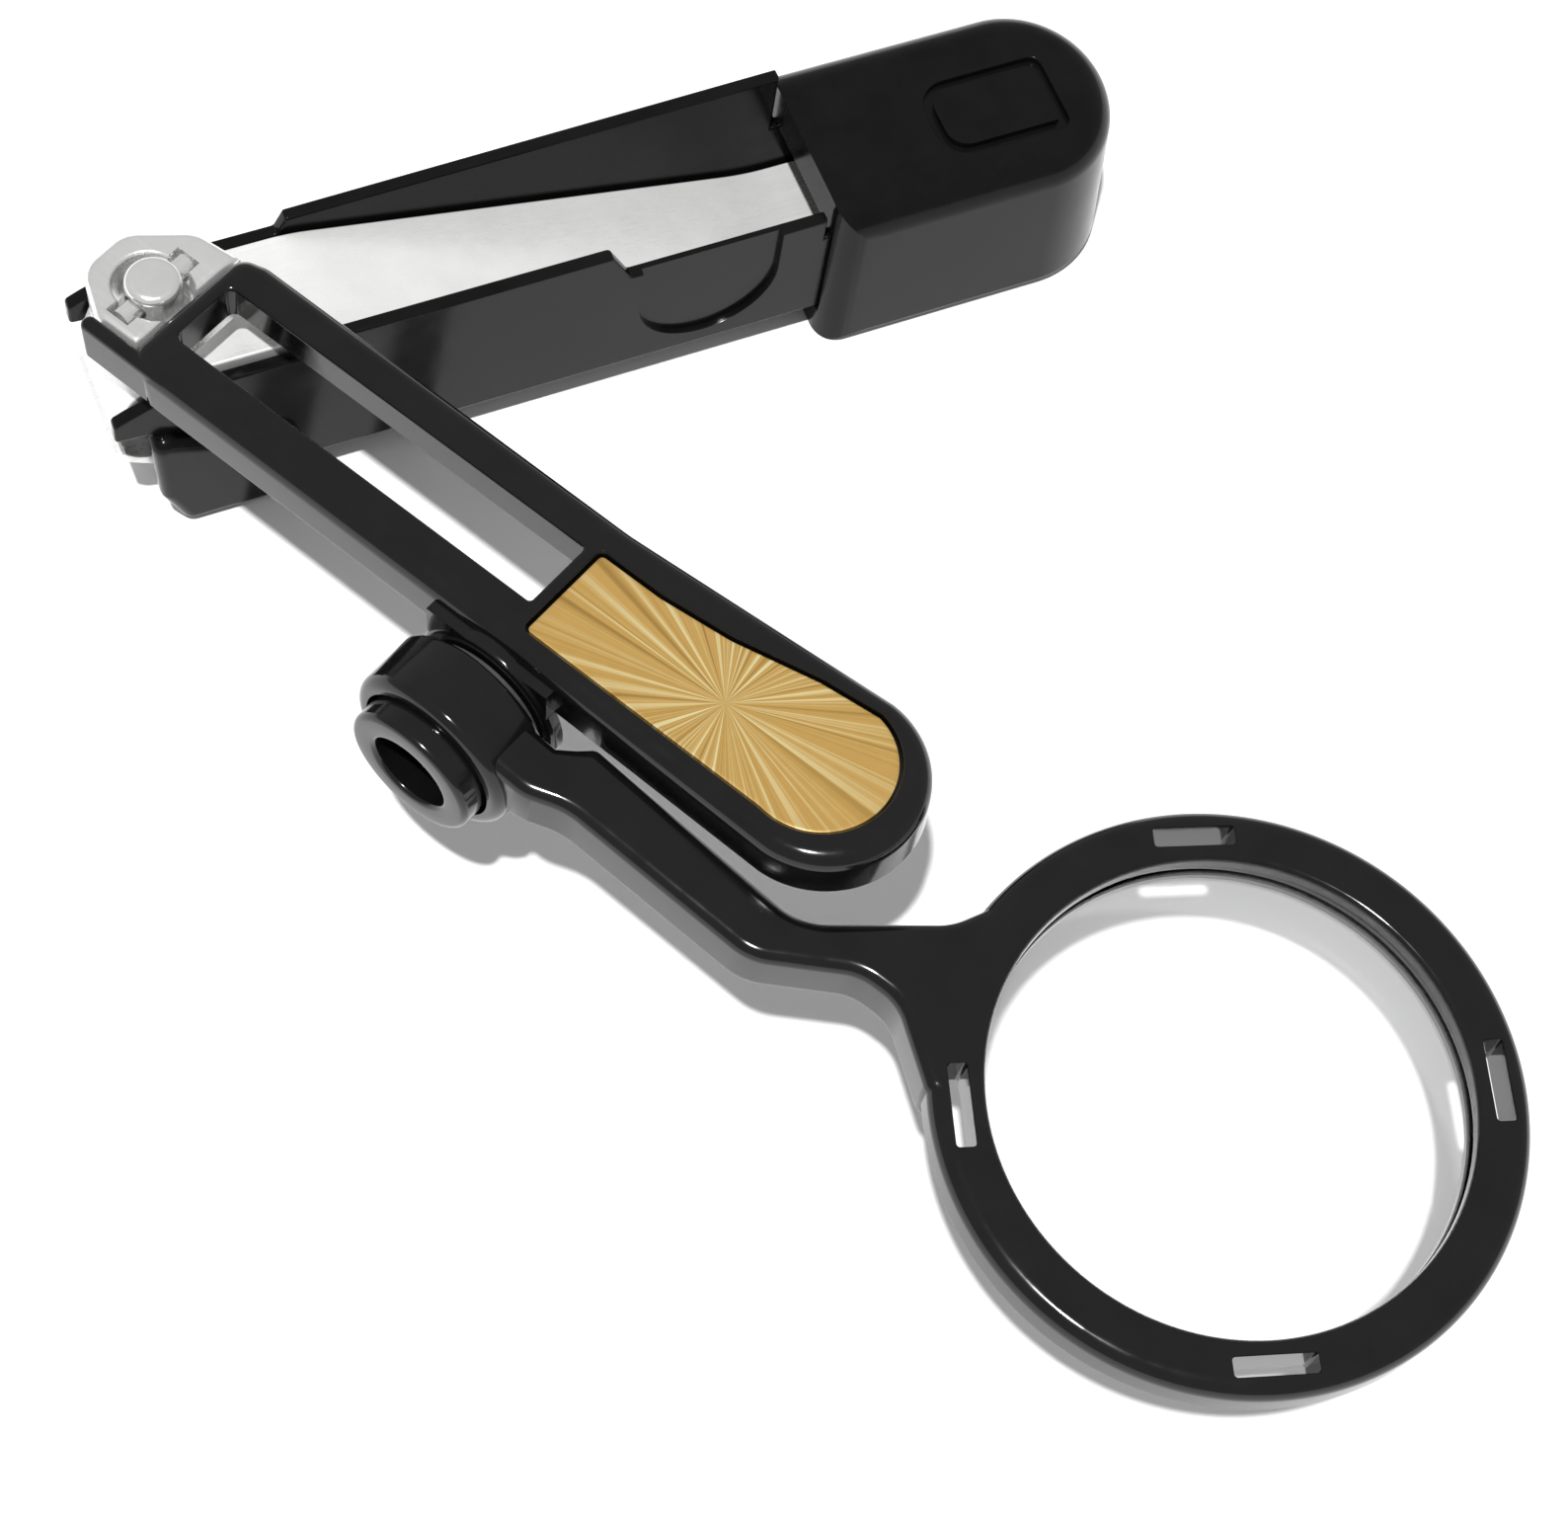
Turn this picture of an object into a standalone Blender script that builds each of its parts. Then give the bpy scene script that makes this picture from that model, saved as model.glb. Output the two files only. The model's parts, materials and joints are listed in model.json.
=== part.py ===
"""Folding nail clipper with a swing-out magnifier.

Lengths are in millimetres and angles in degrees; MM turns a length into metres where a mesh is made.
The clipper stands on z = 0, with the origin in the middle of the end cap's underside. +X runs back along
the case, and the lever is swivelled towards -Y. The case and the blades are drawn in the frame of an empty
under the post's axis. The lever and the magnifier each have an empty on their hinge axis, and their pieces
are drawn in its frame: x back along the lever, y across it, z up.
"""

import math

import bmesh
import bpy
from mathutils import Matrix, Vector

MM = 0.001
GAP = 0.3  # left between pieces that touch

# Case, blades and end cap. x is counted from the post's axis
REST_X = 66.0
CASE_HALF = 6.2
CASE_WALL = 1.1
CASE_REAR = 72.0
CASE_BOTTOM = 3.1
FLOOR_TOP = 4.2
WALL_TOP = 18.6
NOSE_TOP = 16.9
FOOT_HALF = 7.4
BLADE_HALF = 4.8
BLADE_THICK = 1.6
BLADE_TOP = 17.35
RIVET_X = 64.0
FLEX_X = 58.0
FLEX_Z = 7.2
CAP_MOUTH = 53.4
CAP_REAR = 81.5
CAP_TOP = 17.2
CAP_HALF = 8.3
CAP_ROOM = (6.5, 2.8, 13.4)  # half width, floor, ceiling
ROUNDED_EDGE = 1.6
RECESS_X = 43.2
RECESS_RADIUS = 5.95

# Post and lever
PIN_HEIGHT = 21.8
POST_RADIUS = 1.5
EYE_RADIUS = 2.2
PIN_RADIUS = 0.8
LEVER_SWIVEL = -61.93
LEVER_RISE = 3.73
LEVER_TOP = 1.9
LEVER_UNDER = -2.7
COVER_FRONT = 3.2
CHEEK_FRONT = -1.4
CHEEK_INSIDE = -5.1
SLOT = (5.0, 39.4, -2.75, 3.15)  # front, rear, near side, far side
TAIL_CENTRE = (63.6, 0.5)
TAIL_RADIUS = 7.5
POCKET_DEPTH = 0.9
LABEL_THICK = 0.5

# Magnifier hinge, arm and ring
HUB_X = 39.4
HUB_Z = -5.3
MAGNIFIER_DROP = 6.01
BOSS_RADIUS = 6.3
BOSS_FACES = (-7.6, -6.5)
DRUM_RADIUS = 6.9
DRUM_FACES = (-14.0, -8.6)
DRUM_FLOOR = -10.5
SLEEVE_RADIUS = 5.4
SLEEVE_END = -16.0
SLEEVE_BORE = 3.2
SLEEVE_BORE_END = -11.6
JOURNAL_RADIUS = 2.4
ARM_HEIGHTS = (-0.3, 4.7)
RING_CENTRE = (58.75, 3.25)
RING_OUTER = 21.4
RING_INNER = 17.4
RING_HEIGHTS = (1.2, 4.7)
LENS_SEAT = 3.4
SEAT_RADIUS = 18.2
LENS_RADIUS = 17.9
LENS_EDGE = 1.0
LENS_BULGE = 1.2
WINDOW_RADIUS = 19.2
WINDOW_SIZE = (6.0, 1.4)
WINDOW_ANGLES = (45.0, 135.0, 225.0, 315.0)
RETAINER_HEIGHTS = (1.2, 1.8)


def clear_scene():
    for thing in list(bpy.data.objects):
        bpy.data.objects.remove(thing, do_unlink=True)


def new_collection(name):
    made = bpy.data.collections.new(name)
    bpy.context.scene.collection.children.link(made)
    return made


def new_material(name, colour, roughness, metallic=0.0, transmission=0.0):
    made = bpy.data.materials.new(name)
    made.use_nodes = True
    shader = made.node_tree.nodes["Principled BSDF"]
    shader.inputs["Base Color"].default_value = (*colour, 1.0)
    shader.inputs["Roughness"].default_value = roughness
    shader.inputs["Metallic"].default_value = metallic
    shader.inputs["Transmission Weight"].default_value = transmission
    made.diffuse_color = (*colour, 1.0)
    return made


def new_empty(name, parent, place, turns):
    """An empty at a place in its parent's frame, turned by (axis, degrees) pairs, the first one outermost."""
    made = bpy.data.objects.new(name, None)
    bpy.context.scene.collection.objects.link(made)
    made.parent = parent
    matrix = Matrix.Translation(Vector(place) * MM)
    for axis, degrees in turns:
        matrix = matrix @ Matrix.Rotation(math.radians(degrees), 4, axis)
    made.matrix_local = matrix
    return made


def arc(centre, radius, start, end, steps):
    """Points on a circle from one angle to another, both included."""
    for step in range(steps + 1):
        angle = math.radians(start + (end - start) * step / steps)
        yield (centre[0] + radius * math.cos(angle), centre[1] + radius * math.sin(angle))


def rounded(corners, steps=4):
    """A closed outline through corners (x, y) or (x, y, radius), with each stated radius as an arc."""
    outline = []
    count = len(corners)
    for index, corner in enumerate(corners):
        here = Vector(corner[:2])
        radius = corner[2] if len(corner) > 2 else 0.0
        if not radius:
            outline.append(tuple(here))
            continue
        back = (Vector(corners[index - 1][:2]) - here).normalized()
        ahead = (Vector(corners[(index + 1) % count][:2]) - here).normalized()
        half = back.angle(ahead) / 2
        reach = radius / math.tan(half)
        centre = here + (back + ahead).normalized() * (radius / math.sin(half))
        first = here + back * reach - centre
        last = here + ahead * reach - centre
        sweep = first.angle_signed(last)
        for step in range(steps + 1):
            turned_by = -sweep * step / steps
            cosine, sine = math.cos(turned_by), math.sin(turned_by)
            x = first.x * cosine - first.y * sine
            y = first.x * sine + first.y * cosine
            outline.append((centre.x + x, centre.y + y))
    return outline


def baked(source, matrix):
    """The evaluated mesh of a throw-away object, welded and moved by a matrix. The object is removed."""
    graph = bpy.context.evaluated_depsgraph_get()
    mesh = bpy.data.meshes.new_from_object(source.evaluated_get(graph))
    bpy.data.objects.remove(source, do_unlink=True)
    work = bmesh.new()
    work.from_mesh(mesh)
    bmesh.ops.remove_doubles(work, verts=work.verts, dist=1e-6)
    bmesh.ops.dissolve_limit(work, angle_limit=math.radians(0.5), verts=work.verts, edges=work.edges)
    bmesh.ops.recalc_face_normals(work, faces=work.faces)
    work.to_mesh(mesh)
    work.free()
    mesh.transform(matrix)
    return mesh


def placed(name, mesh, parent, material):
    """A part when it has a material, and a cutter when it hasn't."""
    made = bpy.data.objects.new(name, mesh)
    made.parent = parent or post_foot
    mesh.name = name
    if material:
        parts.objects.link(made)
        mesh.materials.clear()
        mesh.materials.append(material)
        mesh.shade_smooth()
        mesh.set_sharp_from_angle(angle=math.radians(35))
    else:
        cutters.objects.link(made)
        made.hide_render = True
        made.display_type = "WIRE"
    return made


def extruded(name, loops, low, high, along="Z", parent=None, material=None, edge=0.0, segments=2):
    """A solid between two planes across Z or Y: an outline, then the outlines of its holes.

    Across Y the outlines are (x, z) points. edge rounds every sharp edge.
    """
    curve = bpy.data.curves.new(name, "CURVE")
    curve.dimensions = "2D"
    curve.fill_mode = "BOTH"
    curve.extrude = (high - low) / 2 * MM
    for loop in loops:
        spline = curve.splines.new("POLY")
        spline.points.add(len(loop) - 1)
        for point, (u, v) in zip(spline.points, loop):
            point.co = (u * MM, v * MM, 0.0, 1.0)
        spline.use_cyclic_u = True
    flat = bpy.data.objects.new(name + "_outline", curve)
    bpy.context.scene.collection.objects.link(flat)
    middle = (low + high) / 2 * MM
    matrix = Matrix.Translation((0, 0, middle))
    if along == "Y":
        matrix = Matrix.Translation((0, middle, 0)) @ Matrix.Rotation(math.radians(90), 4, "X")
    made = placed(name, baked(flat, matrix), parent, material)
    if edge:
        round_edges(made, edge, segments)
    return made


def turned(name, profile, sides, along="Z", centre=(0.0, 0.0), parent=None, material=None):
    """A solid of revolution about a line along Z or Y through centre, from (radius, height) points.

    The profile runs down the outer side. It starts and ends on the axis, or closes on itself as a ring.
    """
    ring = min(radius for radius, _ in profile) > 0
    mesh = bpy.data.meshes.new(name)
    links = [(i, i + 1) for i in range(len(profile) - 1)]
    if ring:
        links.append((len(profile) - 1, 0))
    mesh.from_pydata([(radius * MM, 0.0, height * MM) for radius, height in profile], links, [])
    lathe = bpy.data.objects.new(name + "_profile", mesh)
    bpy.context.scene.collection.objects.link(lathe)
    screw = lathe.modifiers.new("turn", "SCREW")
    screw.steps = sides
    screw.render_steps = sides
    screw.use_merge_vertices = True
    screw.merge_threshold = 1e-6
    matrix = Matrix.Translation((centre[0] * MM, centre[1] * MM, 0))
    if along == "Y":
        matrix = Matrix.Translation((centre[0] * MM, 0, centre[1] * MM))
        matrix = matrix @ Matrix.Rotation(math.radians(-90), 4, "X")
    return placed(name, baked(lathe, matrix), parent, material)


def rod(name, radius, low, high, sides, **where):
    """A plain cylinder between two heights."""
    return turned(name, [(0.0, high), (radius, high), (radius, low), (0.0, low)], sides, **where)


def block(name, low, high, **where):
    """A box between two corners."""
    outline = [(low[0], low[1]), (high[0], low[1]), (high[0], high[1]), (low[0], high[1])]
    return extruded(name, [outline], low[2], high[2], **where)


def round_edges(target, width, segments):
    bevel = target.modifiers.new("edges", "BEVEL")
    bevel.width = width * MM
    bevel.segments = segments
    bevel.limit_method = "ANGLE"
    bevel.angle_limit = math.radians(40)


def combine(target, operation, others):
    for other in others:
        boolean = target.modifiers.new(other.name, "BOOLEAN")
        boolean.operation = operation
        boolean.solver = "EXACT"
        boolean.object = other


def cut(target, *others):
    combine(target, "DIFFERENCE", others)


def join(target, *others):
    combine(target, "UNION", others)


def lower_blade():
    """Flat spring steel strip with an upturned jaw, drilled for the post and the rear rivet."""
    top = FLOOR_TOP + GAP + BLADE_THICK
    side = [
        (CASE_REAR - 0.5, top - BLADE_THICK),
        (2.0, top - BLADE_THICK),
        (-1.5, 5.2),
        (-4.4, 7.0),
        (-5.3, 8.5),
        (-4.8, 8.6),
        (-3.6, 7.5),
        (-0.8, 6.4),
        (3.0, top),
        (CASE_REAR - 0.5, top),
    ]
    blade = extruded("lower_blade", [side], -BLADE_HALF, BLADE_HALF, along="Y", material=steel)
    post_hole = rod("lower_post_hole", POST_RADIUS + GAP, 0, 10, 24)
    rivet_hole = rod("lower_rivet_hole", 1.5, 0, 10, 24, centre=(RIVET_X, 0))
    cut(blade, post_hole, rivet_hole)


def upper_blade():
    """Sprung strip that rises to the jaw. It flexes about a line near the rear rivet."""
    side = [
        (CASE_REAR - 0.5, 6.4),
        (CASE_REAR - 0.5, 8.0),
        (51.0, 8.0),
        (12.0, BLADE_TOP),
        (-1.0, BLADE_TOP),
        (-3.8, 15.4),
        (-5.2, 11.2),
        (-4.7, 11.1),
        (-3.0, 14.0),
        (-0.6, 15.75),
        (12.0, 15.75),
        (50.0, 6.45),
    ]
    blade = extruded("upper_blade", [side], -BLADE_HALF, BLADE_HALF, along="Y", material=steel)
    post_hole = rod("upper_post_hole", EYE_RADIUS + GAP, 10, 20, 24)
    rivet_hole = rod("upper_rivet_hole", 1.9, 0, 12, 24, centre=(RIVET_X, 0))
    cut(blade, post_hole, rivet_hole)
    flex_line = Vector((FLEX_X, 0.0, FLEX_Z)) * MM
    blade.data.transform(Matrix.Translation(-flex_line))
    blade.location = flex_line


def rear_rivet():
    """Rivet that holds the rear ends of the two blades together."""
    profile = [(0, 9.5), (1.4, 9.5), (2.2, 8.9), (2.2, 8.6), (1.2, 8.6)]
    profile += [(1.2, 4.2), (2.4, 4.2), (2.4, 3.4), (0, 3.4)]
    turned("rear_rivet", profile, 32, centre=(RIVET_X, 0), material=steel)


def case_channel():
    """Plastic channel round the blades: floor, two tall side walls and a foot on each side at the front."""
    nose = [(-5.5, 12.6), (-5.5, 14.7, 0.5), (-4.4, 15.3), (-1.0, NOSE_TOP)]
    nose += [(11.2, NOSE_TOP), (12.0, WALL_TOP)]
    tail = [(53.0, 12.9), (CASE_REAR, 12.9), (CASE_REAR, CASE_BOTTOM)]
    tail += [(4.0, CASE_BOTTOM), (0.5, 8.2), (-2.6, 12.3)]
    near_step = [(34.5, WALL_TOP), (36.2, 15.3), (53.0, 15.3)]
    far_top = [(53.0, WALL_TOP + 0.8)]
    foot = [(-3.0, 12.6, 0.5), (1.5, 10.6, 1), (9, 8, 1), (9, CASE_BOTTOM + 0.2)]
    foot = rounded(foot + [(7, 0), (-0.8, 0), (-1.6, 0.6), (-2.5, 4.2)])
    inside = CASE_HALF - CASE_WALL
    low, high = (4.5, -inside - 0.5, CASE_BOTTOM + 0.05), (CASE_REAR - 0.05, inside + 0.5, FLOOR_TOP)
    case = block("case_channel", low, high, material=plastic)
    for side, step in ((-1, near_step), (1, far_top)):
        low, high = sorted((side * inside, side * CASE_HALF))
        wall = extruded(f"wall{side}", [rounded(nose + step + tail)], low, high, along="Y")
        low, high = sorted((side * (CASE_HALF - 0.4), side * FOOT_HALF))
        pad = extruded(f"foot{side}", [foot], low, high, along="Y", edge=0.5)
        join(case, wall, pad)
    recess_outline = list(arc((RECESS_X, 4.7 + RECESS_RADIUS), RECESS_RADIUS, 180, 360, 20))
    recess_outline += [(RECESS_X + RECESS_RADIUS, 20), (RECESS_X - RECESS_RADIUS, 20)]
    recess = extruded("recess", [recess_outline], -CASE_HALF - 2, -CASE_HALF + 0.5, along="Y")
    rivet_well = rod("rivet_well", 2.8, 2, 4.4, 24, centre=(RIVET_X, 0))
    cut(case, recess, rivet_well)


def case_end_cap():
    """Moulded cap over the rear of the channel, with a groove in the shape of a frame on top."""
    bend = (CAP_REAR - CAP_HALF, 0)
    outline = [(CAP_MOUTH, CAP_HALF), (CAP_MOUTH, -CAP_HALF)] + list(arc(bend, CAP_HALF, -90, 90, 20))
    cap = extruded("case_end_cap", [outline], 0, CAP_TOP, material=plastic, edge=ROUNDED_EDGE, segments=3)
    side, floor, ceiling = CAP_ROOM
    room = block("cap_room", (CAP_MOUTH - 5, -side, floor), (CASE_REAR + GAP, side, ceiling))
    outer = rounded([(64.0, -3.4, 1.2), (74.8, -3.4), (74.8, 3.4), (64.0, 3.4, 1.2)])
    inner = rounded([(64.6, -2.8, 0.8), (74.2, -2.8), (74.2, 2.8), (64.6, 2.8, 0.8)])
    groove = extruded("cap_groove", [outer, inner], CAP_TOP - 0.35, CAP_TOP + 2)
    cut(cap, room, groove)


def post():
    """Headed post through both blades, with an eye above them for the cross pin."""
    top = PIN_HEIGHT + 1.7
    shoulder = BLADE_TOP + 0.9
    profile = [(0, top), (1.6, top), (EYE_RADIUS, top - 0.6), (EYE_RADIUS, shoulder)]
    profile += [(POST_RADIUS, shoulder), (POST_RADIUS, 4.1), (2.5, 4.1), (2.5, 3.2), (0, 3.2)]
    stem = turned("post", profile, 32, material=steel)
    eye = rod("post_eye", PIN_RADIUS + GAP, -5, 5, 20, along="Y", parent=lever_axis)
    cut(stem, eye)


def cross_pin():
    """Pin that the lever tilts on, through the post's eye."""
    rod("cross_pin", PIN_RADIUS, -3.5, 3.5, 20, along="Y", parent=lever_axis, material=steel)


def lever_core():
    """Steel strip inside the lever, with a thick rounded nose that straddles the post."""
    front, rear, near, far = SLOT
    core_top = LEVER_UNDER + 1.2
    where = {"parent": lever_axis}
    strip = block("lever_core", (0, -5.4, LEVER_UNDER), (65.5, 5.4, core_top), material=steel, **where)
    shape = [(COVER_FRONT - GAP, CHEEK_INSIDE + GAP), (-1.2, CHEEK_INSIDE + GAP, 2), (-5.3, -2.2, 2.5)]
    shape += [(-5.3, 2.2, 2.5), (-1.2, 5.9, 2.5), (COVER_FRONT - GAP, 6.3)]
    nose = extruded("core_nose", [rounded(shape)], LEVER_UNDER - 0.4, 0.6, edge=0.5, **where)
    window = block("core_window", (front - 0.4, near - 1.2, -9), (rear + 0.9, far + 1.2, 9), **where)
    eyelet_shape = rounded([(-3.3, -2.6, 2.5), (3.2, -2.6, 2.5), (3.2, 2.6, 2.5), (-3.3, 2.6, 2.5)])
    eyelet = extruded("core_eyelet", [eyelet_shape], -9, 9, **where)
    groove = block("pin_groove", (-1.1, -3.8, -1.1), (1.1, 3.8, 9), **where)
    join(strip, nose)
    cut(strip, window, eyelet, groove)


def cover_outline():
    near_side = [(COVER_FRONT, -5.9, 0.8), (5.2, -6.55, 2), (42, -6.6, 20)]
    far_side = [(41, 6.5, 20), (5.2, 6.6, 2), (COVER_FRONT, 6.0, 0.8)]
    return near_side, list(arc(TAIL_CENTRE, TAIL_RADIUS, -88, 88, 16)), far_side


def label_outline(margin):
    """The label's outline, drawn in by a margin: straight near side, round rear end, waisted far side."""
    m = margin
    corners = [(40.4 + m, -4.8 + m, 0.6)] + list(arc((62.9, 0.75), 5.75 - m, -100, 80, 14))
    corners += [(59, 5.9 - m, 4), (52, 4.4 - m, 8), (46, 3.8 - m, 4), (40.4 + m, 3.8 - m, 0.6)]
    return rounded(corners, 5)


def lever_cover():
    """Moulded lever shell round the steel strip, with a window, a label pocket, a hinge boss and a cheek."""
    front, rear, near, far = SLOT
    near_side, tail, far_side = cover_outline()
    outline = rounded(near_side + tail + far_side)
    where = {"parent": lever_axis}
    cover = extruded("lever_cover", [outline], LEVER_UNDER, LEVER_TOP, edge=0.7, material=plastic, **where)
    boss_z = (HUB_X, HUB_Z)
    boss = rod("hinge_boss", BOSS_RADIUS, *BOSS_FACES, 48, along="Y", centre=boss_z, **where)
    root = block("boss_root", (HUB_X - 5.6, BOSS_FACES[0], -2.4), (HUB_X + 5.6, -5.9, 0.6), **where)
    cheek_shape = [(CHEEK_FRONT, -6.4, 0.5), (6.5, -6.45)]
    cheek_shape += [(6.5, CHEEK_INSIDE), (CHEEK_FRONT, CHEEK_INSIDE, 0.5)]
    cheek = extruded("cheek", [rounded(cheek_shape)], LEVER_UNDER + 0.15, LEVER_TOP - 0.4, **where)
    strip_room = block("strip_room", (-0.4, -5.7, -9), (66.0, 5.7, LEVER_UNDER + 1.5), **where)
    window_shape = rounded([(front, near, 0.6), (rear, near), (rear, far), (front, far, 0.6)])
    window = extruded("cover_window", [window_shape], -9, 9, **where)
    pocket = extruded("label_pocket", [label_outline(0)], LEVER_TOP - POCKET_DEPTH, 9, **where)
    journal_hole = rod("journal_hole", JOURNAL_RADIUS + GAP, -20, -5, 32, along="Y", centre=boss_z, **where)
    join(cover, cheek)
    cut(cover, strip_room)
    join(cover, boss, root)
    cut(cover, window, pocket, journal_hole)


def label_plate():
    """Thin printed plate in the lever's pocket."""
    low = LEVER_TOP - POCKET_DEPTH + 0.1
    extruded("label_plate", [label_outline(0.25)], low, low + LABEL_THICK, parent=lever_axis, material=gold)


def hinge_sleeve():
    """Shouldered hollow stud that the magnifier turns on. Its narrow end is held in the lever's boss."""
    shoulder = DRUM_FLOOR - GAP
    profile = [(0, BOSS_FACES[1]), (JOURNAL_RADIUS, BOSS_FACES[1]), (JOURNAL_RADIUS, shoulder)]
    profile += [(SLEEVE_RADIUS, shoulder), (SLEEVE_RADIUS, SLEEVE_END + 0.4)]
    profile += [(SLEEVE_RADIUS - 0.4, SLEEVE_END), (SLEEVE_BORE + 0.3, SLEEVE_END)]
    profile += [(SLEEVE_BORE, SLEEVE_END + 0.3), (SLEEVE_BORE, SLEEVE_BORE_END), (0, SLEEVE_BORE_END)]
    turned("hinge_sleeve", profile, 48, along="Y", parent=hub_axis, material=plastic)


def friction_washer():
    """Washer between the lever's boss and the magnifier's drum, which holds the magnifier where it is put."""
    low, high = DRUM_FACES[1] + GAP, BOSS_FACES[0] - 0.2
    inner = JOURNAL_RADIUS + GAP
    profile = [(5.2, high), (5.2, low), (inner, low), (inner, high)]
    turned("friction_washer", profile, 40, along="Y", parent=hub_axis, material=rubber)


def window_block(name, degrees):
    """A block right through the ring at one window."""
    length, width = WINDOW_SIZE
    first, last = WINDOW_RADIUS - width / 2, WINDOW_RADIUS + width / 2
    angle = math.radians(degrees)
    along, across = (math.cos(angle), math.sin(angle)), (-math.sin(angle), math.cos(angle))
    corners = ((first, -1), (last, -1), (last, 1), (first, 1))
    outline = [
        tuple(RING_CENTRE[k] + reach * along[k] + side * length / 2 * across[k] for k in (0, 1))
        for reach, side in corners
    ]
    return extruded(name, [outline], -9, 9, parent=hub_axis)


def arm_outline():
    """The arm's plan: a straight bar from the drum that bends in and spreads into the ring."""
    far_side = [(42.5, 7.6), (39.4, 6.6), (36.4, -0.2, 5), (28.5, -7.4, 5), (9.5, -7.0, 0.6), (8.5, -8.0)]
    hub_end = [(7.4, -8.9), (3.2, -8.9), (3.2, -13.3), (8.0, -13.3, 4), (11, -12.1, 6)]
    near_side = [(27.6, -12.0, 5), (34.0, -7.6, 4), (37.2, -7.4, 4), (42.6, -11.0), (46.6, -11.0)]
    return rounded(far_side + hub_end + near_side, 6)


def magnifier_frame():
    """Drum, arm and lens ring in one moulding."""
    where = {"parent": hub_axis}
    low, high = RING_HEIGHTS
    profile = [(RING_OUTER - 1.0 + x, high - 1.0 + z) for x, z in arc((0, 0), 1.0, 90, 0, 4)]
    profile += [(RING_OUTER, low + 0.3), (RING_OUTER - 0.3, low), (SEAT_RADIUS, low)]
    profile += [(SEAT_RADIUS, LENS_SEAT), (RING_INNER, LENS_SEAT)]
    profile += [(RING_INNER, high - 0.3), (RING_INNER + 0.3, high)]
    frame = turned("magnifier_frame", profile, 96, centre=RING_CENTRE, material=plastic, **where)
    arm = extruded("arm", [arm_outline()], *ARM_HEIGHTS, edge=0.7, **where)
    arm_end = rod("arm_end", (SEAT_RADIUS + RING_OUTER) / 2, -9, 9, 90, centre=RING_CENTRE, **where)
    cut(arm, arm_end)
    outer, inner = DRUM_FACES
    drum_profile = [(0, inner), (DRUM_RADIUS - 0.4, inner), (DRUM_RADIUS, inner - 0.4)]
    drum_profile += [(DRUM_RADIUS, outer + 0.9), (DRUM_RADIUS - 0.5, outer + 0.3)]
    drum_profile += [(DRUM_RADIUS - 0.9, outer), (0, outer)]
    drum = turned("drum", drum_profile, 48, along="Y", **where)
    bore = rod("drum_bore", SLEEVE_RADIUS + GAP, outer - 2, DRUM_FLOOR, 48, along="Y", **where)
    journal = rod("drum_journal", JOURNAL_RADIUS + GAP, outer - 2, inner + 2, 32, along="Y", **where)
    join(frame, arm, drum)
    windows = [window_block(f"ring_window{i}", angle) for i, angle in enumerate(WINDOW_ANGLES)]
    cut(frame, *windows, bore, journal)


def lens():
    """Biconvex lens held in the ring's seat."""
    low, high = LENS_SEAT - GAP - LENS_EDGE, LENS_SEAT - GAP
    steps = 6
    shares = [step / steps for step in range(steps + 1)]
    upper = [(LENS_RADIUS * share, high + LENS_BULGE * (1 - share**2)) for share in shares]
    lower = [(radius, low + high - height) for radius, height in reversed(upper)]
    turned("lens", upper + lower, 72, centre=RING_CENTRE, parent=hub_axis, material=glass)


def lens_retainer():
    """Flat ring pressed into the frame under the lens."""
    low, high = RETAINER_HEIGHTS
    outer = SEAT_RADIUS - GAP
    profile = [(outer, high), (outer, low), (RING_INNER, low), (RING_INNER, high)]
    turned("lens_retainer", profile, 96, centre=RING_CENTRE, parent=hub_axis, material=plastic)


clear_scene()
parts = new_collection("nail_clipper")
cutters = new_collection("cutters")
plastic = new_material("black_plastic", (0.012, 0.012, 0.013), 0.16)
steel = new_material("polished_steel", (0.78, 0.78, 0.77), 0.18, metallic=1.0)
gold = new_material("gold_print", (0.62, 0.38, 0.09), 0.32, metallic=0.4)
rubber = new_material("grey_washer", (0.06, 0.06, 0.06), 0.6)
glass = new_material("clear_lens", (0.97, 0.98, 0.98), 0.02, transmission=1.0)
post_foot = new_empty("post_foot", None, (-REST_X, 0, 0), [])
lever_axis = new_empty("lever_axis", post_foot, (0, 0, PIN_HEIGHT), [("Z", LEVER_SWIVEL), ("Y", -LEVER_RISE)])
hub_axis = new_empty("hub_axis", lever_axis, (HUB_X, 0, HUB_Z), [("Y", MAGNIFIER_DROP)])
lower_blade()
upper_blade()
rear_rivet()
case_channel()
case_end_cap()
post()
cross_pin()
lever_core()
lever_cover()
label_plate()
hinge_sleeve()
friction_washer()
magnifier_frame()
lens()
lens_retainer()
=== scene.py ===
"""Looks of the folding nail clipper with a swing-out magnifier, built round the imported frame.

Lengths in the modelling helpers are millimetres, in the frame of the post's foot, the lever or the hinge hub.
"""

import json
import math

import bmesh
import bpy
from mathutils import Matrix, Vector


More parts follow.
